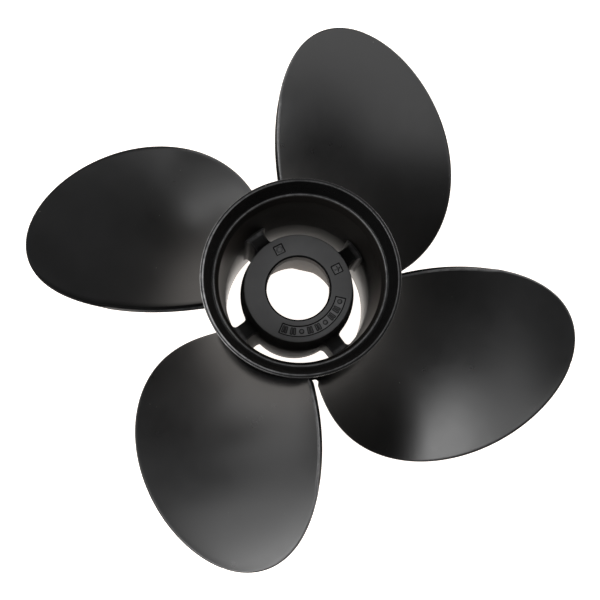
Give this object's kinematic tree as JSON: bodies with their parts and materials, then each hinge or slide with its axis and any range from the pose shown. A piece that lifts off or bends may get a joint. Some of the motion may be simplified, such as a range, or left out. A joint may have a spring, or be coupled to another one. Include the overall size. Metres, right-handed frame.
{
  "type": "boat propeller",
  "caption": "Skewed four-blade outboard propeller with through-hub exhaust: open barrel, ribbed inner hub and a drive sleeve socket.",
  "frame": {"origin": "centre of the forward face of the barrel, on the shaft axis", "axes": "+Z aft along the shaft axis, from the gearcase end to the exhaust outlet; +X through the middle of exhaust passage 1, a quarter turn from +Y"},
  "size_m": [0.3388, 0.3388, 0.168],
  "materials": {
    "blade_paint": "satin black paint on cast aluminium",
    "barrel_paint": "satin black paint on cast aluminium",
    "hub_paint": "matte black paint on cast aluminium, slightly lighter than the blades"
  },
  "bodies": {
    "root": {"barrel": "barrel_paint", "diffuser_ring": "barrel_paint", "inner_hub": "hub_paint", "hub_end_ring": "hub_paint", "rib_1": "hub_paint", "rib_2": "hub_paint", "rib_3": "hub_paint", "rib_4": "hub_paint", "blade_1": "blade_paint", "blade_2": "blade_paint", "blade_3": "blade_paint", "blade_4": "blade_paint"}
  },
  "joints": []
}
